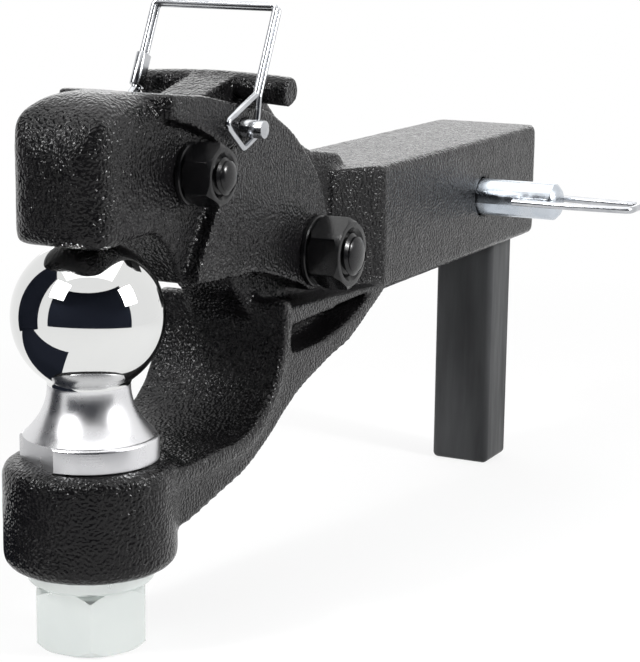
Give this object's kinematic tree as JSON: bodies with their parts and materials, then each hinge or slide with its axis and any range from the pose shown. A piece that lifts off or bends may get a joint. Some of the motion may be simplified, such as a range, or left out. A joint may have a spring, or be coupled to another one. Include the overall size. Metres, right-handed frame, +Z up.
{
  "type": "combination pintle hook",
  "caption": "Cast pintle hook on a square receiver shank: a hinged jaw with a latch lever and wire-locked pin closes over a hitch ball, and a bent pin with a clip holds the shank.",
  "frame": {"origin": "Centre of the hitch pin hole, on the centre line of the square receiver shank.", "axes": "+Z is up, +X runs along the shank from the ball towards the vehicle, and +Y is to the left seen from behind the ball."},
  "size_m": [0.3755, 0.1518, 0.227],
  "materials": {
    "cast_black": "semi-gloss black paint on a rough casting",
    "oxide_black": "smooth black oxide",
    "bright_chrome": "mirror chrome plate",
    "pale_zinc": "pale satin zinc plate",
    "pin_zinc": "bluish zinc plate",
    "wire_zinc": "bright plated wire",
    "mill_grey": "dark grey mill scale"
  },
  "bodies": {
    "body": {"hitch_body": "cast_black", "hitch_ball": "bright_chrome", "ball_lock_washer": "pale_zinc", "ball_nut": "pale_zinc"},
    "jaw": {"upper_jaw": "cast_black", "jaw_pivot_sleeve": "pale_zinc", "jaw_pivot_bolt": "oxide_black", "jaw_pivot_washers": "oxide_black", "jaw_pivot_nut": "oxide_black", "latch_pivot_sleeve": "pale_zinc", "latch_pivot_bolt": "oxide_black", "latch_pivot_washers": "oxide_black", "latch_pivot_nut": "oxide_black", "latch_spring": "wire_zinc"},
    "latch": {"latch_lever": "cast_black"},
    "lock_pin": {"lock_pin": "wire_zinc"},
    "bail": {"lock_pin_bail": "wire_zinc", "bail_ferrule": "wire_zinc"},
    "hitch_pin": {"hitch_pin": "pin_zinc"},
    "clip": {"hitch_pin_clip": "wire_zinc"},
    "post": {"support_post": "mill_grey"}
  },
  "joints": [
    {"name": "jaw_open", "type": "hinge", "parent": "body", "child": "jaw", "pos_m": [-0.158, 0, -0.001], "axis": [0, 1, 0], "range_deg": [0, 44]},
    {"name": "latch_lift", "type": "hinge", "parent": "jaw", "child": "latch", "pos_m": [-0.243, 0, 0.0375], "axis": [0, -1, 0], "range_deg": [0, 33]},
    {"name": "bail_swing", "type": "hinge", "parent": "jaw", "child": "bail", "pos_m": [-0.215, 0, 0.0503], "axis": [0, -1, 0], "range_deg": [0, 48]},
    {"name": "lock_pin_pull", "type": "slide", "parent": "jaw", "child": "lock_pin", "axis": [0, 1, 0], "range_m": [0, 0.035]},
    {"name": "hitch_pin_slide", "type": "slide", "parent": "body", "child": "hitch_pin", "axis": [0, 1, 0], "range_m": [0, 0.016]},
    {"name": "clip_swing", "type": "hinge", "parent": "hitch_pin", "child": "clip", "pos_m": [0, -0.055, 0], "axis": [1, 0, 0], "range_deg": [-60, 60]},
    {"name": "post_withdraw", "type": "slide", "parent": "body", "child": "post", "axis": [0, -1, 0], "range_m": [0, 0.045]}
  ],
  "couplings": [
    {"joint": "latch_lift", "follows": "jaw_open", "ratio": 0.75},
    {"joint": "bail_swing", "follows": "jaw_open", "ratio": 1.09}
  ]
}
